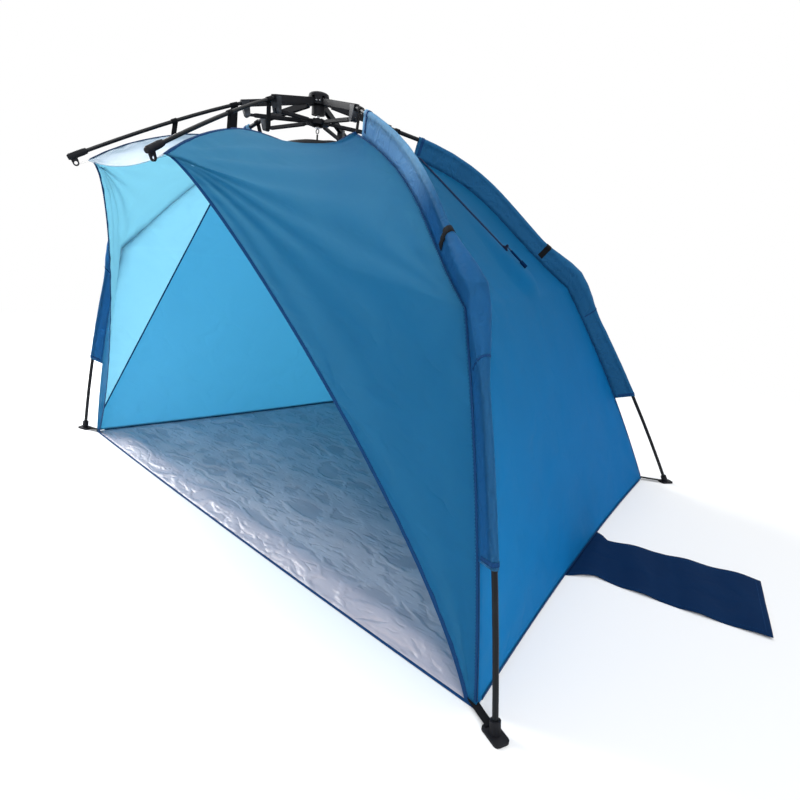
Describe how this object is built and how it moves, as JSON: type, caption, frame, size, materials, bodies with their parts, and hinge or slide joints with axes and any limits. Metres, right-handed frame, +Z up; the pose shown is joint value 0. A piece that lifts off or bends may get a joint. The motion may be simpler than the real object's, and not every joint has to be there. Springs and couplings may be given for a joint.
{
  "type": "beach tent",
  "caption": "Open-fronted pop-up beach tent: an umbrella hub with folding arms opens four jointed legs and two awning poles over a hung cloth canopy.",
  "frame": {"origin": "on the ground, under the axis of the hub", "axes": "+Z up, +X to the right across the opening, -Y out of the open front"},
  "size_m": [2.5715, 2.011, 1.345],
  "materials": {
    "frame_black": "satin moulded nylon",
    "pole_black": "smooth black fibreglass rod",
    "steel": "plain steel wire and pin",
    "roof_pale": "pale coated polyester",
    "cloth_blue": "blue coated polyester",
    "cloth_deep": "deep blue coated polyester",
    "sleeve_blue": "light blue polyester",
    "floor_silver": "silver grey coated sheet",
    "flap_navy": "navy polyester",
    "webbing": "black woven webbing",
    "zip_dark": "dark moulded zip"
  },
  "bodies": {
    "root": {"hub_body": "frame_black", "hub_cap": "frame_black", "hub_wire": "steel", "crown_strap": "webbing", "awning_roof": "roof_pale", "wing_left": "cloth_blue", "wing_right": "cloth_blue", "side_left": "cloth_deep", "side_right": "cloth_deep", "rear_wall": "cloth_deep", "floor": "floor_silver", "ground_flap": "flap_navy", "zip_chain": "zip_dark"},
    "rib_front_right": {"arm_front_right": "frame_black", "bracket_front_right": "frame_black", "upper_pole_front_right": "pole_black", "elbow_upper_front_right": "frame_black", "sleeve_front_right": "sleeve_blue"},
    "strut_link_front_right": {"strut_front_right": "frame_black"},
    "leg_front_right": {"lower_pole_front_right": "pole_black", "shoe_front_right": "frame_black"},
    "rib_front_left": {"arm_front_left": "frame_black", "bracket_front_left": "frame_black", "upper_pole_front_left": "pole_black", "elbow_upper_front_left": "frame_black", "sleeve_front_left": "sleeve_blue"},
    "strut_link_front_left": {"strut_front_left": "frame_black"},
    "leg_front_left": {"lower_pole_front_left": "pole_black", "shoe_front_left": "frame_black"},
    "rib_rear_right": {"arm_rear_right": "frame_black", "bracket_rear_right": "frame_black", "upper_pole_rear_right": "pole_black", "elbow_upper_rear_right": "frame_black", "sleeve_rear_right": "sleeve_blue"},
    "strut_link_rear_right": {"strut_rear_right": "frame_black"},
    "leg_rear_right": {"lower_pole_rear_right": "pole_black", "shoe_rear_right": "frame_black"},
    "rib_rear_left": {"arm_rear_left": "frame_black", "bracket_rear_left": "frame_black", "upper_pole_rear_left": "pole_black", "elbow_upper_rear_left": "frame_black", "sleeve_rear_left": "sleeve_blue"},
    "strut_link_rear_left": {"strut_rear_left": "frame_black"},
    "leg_rear_left": {"lower_pole_rear_left": "pole_black", "shoe_rear_left": "frame_black"},
    "rib_awning_right": {"arm_awning_right": "frame_black", "bracket_awning_right": "frame_black", "pole_awning_right": "pole_black", "tip_awning_right": "frame_black"},
    "strut_link_awning_right": {"strut_awning_right": "frame_black"},
    "rib_awning_left": {"arm_awning_left": "frame_black", "bracket_awning_left": "frame_black", "pole_awning_left": "pole_black", "tip_awning_left": "frame_black"},
    "strut_link_awning_left": {"strut_awning_left": "frame_black"},
    "runner": {"lower_hub": "frame_black", "centre_pin": "steel", "pull_ring": "frame_black"},
    "slider": {"zip_slider": "zip_dark"},
    "pull": {"zip_pull": "zip_dark"}
  },
  "joints": [
    {"name": "fold_front_right", "type": "hinge", "parent": "root", "child": "rib_front_right", "pos_m": [0.02543, -0.00541, 1.315], "axis": [0.2079, 0.9781, 0], "range_deg": [0, 61.5], "deforming": ["awning_roof", "wing_left", "wing_right", "side_left", "side_right", "rear_wall", "floor", "crown_strap", "zip_chain", "sleeve_front_left", "sleeve_front_right", "sleeve_rear_left", "sleeve_rear_right"]},
    {"name": "swing_front_right", "type": "hinge", "parent": "rib_front_right", "child": "strut_link_front_right", "pos_m": [0.21224, -0.04511, 1.24553], "axis": [-0.2079, -0.9781, 0], "range_deg": [0, 152]},
    {"name": "knee_front_right", "type": "hinge", "parent": "rib_front_right", "child": "leg_front_right", "pos_m": [0.87639, -0.28823, 0.85708], "axis": [-0.3471, -0.9378, 0], "range_deg": [0, 210]},
    {"name": "fold_front_left", "type": "hinge", "parent": "root", "child": "rib_front_left", "pos_m": [-0.02543, -0.00541, 1.315], "axis": [0.2079, -0.9781, 0], "range_deg": [0, 61.5]},
    {"name": "swing_front_left", "type": "hinge", "parent": "rib_front_left", "child": "strut_link_front_left", "pos_m": [-0.21224, -0.04511, 1.24553], "axis": [-0.2079, 0.9781, 0], "range_deg": [0, 152]},
    {"name": "knee_front_left", "type": "hinge", "parent": "rib_front_left", "child": "leg_front_left", "pos_m": [-0.87639, -0.28823, 0.85708], "axis": [-0.3471, 0.9378, 0], "range_deg": [0, 210]},
    {"name": "fold_rear_right", "type": "hinge", "parent": "root", "child": "rib_rear_right", "pos_m": [0.013, 0.02252, 1.315], "axis": [-0.866, 0.5, 0], "range_deg": [0, 61.5]},
    {"name": "swing_rear_right", "type": "hinge", "parent": "rib_rear_right", "child": "strut_link_rear_right", "pos_m": [0.10849, 0.18791, 1.24553], "axis": [0.866, -0.5, 0], "range_deg": [0, 152]},
    {"name": "knee_rear_right", "type": "hinge", "parent": "rib_rear_right", "child": "leg_rear_right", "pos_m": [0.54044, 0.83497, 0.86169], "axis": [0.8309, -0.5565, 0], "range_deg": [0, 196]},
    {"name": "fold_rear_left", "type": "hinge", "parent": "root", "child": "rib_rear_left", "pos_m": [-0.013, 0.02252, 1.315], "axis": [-0.866, -0.5, 0], "range_deg": [0, 61.5]},
    {"name": "swing_rear_left", "type": "hinge", "parent": "rib_rear_left", "child": "strut_link_rear_left", "pos_m": [-0.10849, 0.18791, 1.24553], "axis": [0.866, 0.5, 0], "range_deg": [0, 152]},
    {"name": "knee_rear_left", "type": "hinge", "parent": "rib_rear_left", "child": "leg_rear_left", "pos_m": [-0.54044, 0.83497, 0.86169], "axis": [0.8309, 0.5565, 0], "range_deg": [0, 196]},
    {"name": "fold_awning_right", "type": "hinge", "parent": "root", "child": "rib_awning_right", "pos_m": [0.00898, -0.0244, 1.315], "axis": [0.9385, 0.3453, 0], "range_deg": [0, 61.5]},
    {"name": "swing_awning_right", "type": "hinge", "parent": "rib_awning_right", "child": "strut_link_awning_right", "pos_m": [0.07492, -0.20364, 1.24553], "axis": [-0.9385, -0.3453, 0], "range_deg": [0, 152]},
    {"name": "fold_awning_left", "type": "hinge", "parent": "root", "child": "rib_awning_left", "pos_m": [-0.00898, -0.0244, 1.315], "axis": [0.9385, -0.3453, 0], "range_deg": [0, 61.5]},
    {"name": "swing_awning_left", "type": "hinge", "parent": "rib_awning_left", "child": "strut_link_awning_left", "pos_m": [-0.07492, -0.20364, 1.24553], "axis": [-0.9385, 0.3453, 0], "range_deg": [0, 152]},
    {"name": "runner_slide", "type": "slide", "parent": "root", "child": "runner", "axis": [0, 0, -1], "range_m": [0, 0.318]},
    {"name": "zip_travel", "type": "slide", "parent": "root", "child": "slider", "axis": [-0.7123, -0.3006, 0.6342], "range_m": [0, 0.371]},
    {"name": "pull_swing", "type": "hinge", "parent": "slider", "child": "pull", "pos_m": [0.55668, 0.29211, 0.94013], "axis": [0.365, -0.9305, -0.031], "range_deg": [0, 140]}
  ],
  "couplings": [
    {"joint": "swing_front_right", "follows": "fold_front_right", "ratio": 2.46},
    {"joint": "knee_front_right", "follows": "fold_front_right", "ratio": 3.387},
    {"joint": "fold_front_left", "follows": "fold_front_right", "ratio": 1},
    {"joint": "swing_front_left", "follows": "fold_front_right", "ratio": 2.46},
    {"joint": "knee_front_left", "follows": "fold_front_right", "ratio": 3.387},
    {"joint": "fold_rear_right", "follows": "fold_front_right", "ratio": 1},
    {"joint": "swing_rear_right", "follows": "fold_front_right", "ratio": 2.46},
    {"joint": "knee_rear_right", "follows": "fold_front_right", "ratio": 3.161},
    {"joint": "fold_rear_left", "follows": "fold_front_right", "ratio": 1},
    {"joint": "swing_rear_left", "follows": "fold_front_right", "ratio": 2.46},
    {"joint": "knee_rear_left", "follows": "fold_front_right", "ratio": 3.161},
    {"joint": "fold_awning_right", "follows": "fold_front_right", "ratio": 1},
    {"joint": "swing_awning_right", "follows": "fold_front_right", "ratio": 2.46},
    {"joint": "fold_awning_left", "follows": "fold_front_right", "ratio": 1},
    {"joint": "swing_awning_left", "follows": "fold_front_right", "ratio": 2.46},
    {"joint": "runner_slide", "follows": "fold_front_right", "m_per_rad": 0.294}
  ]
}
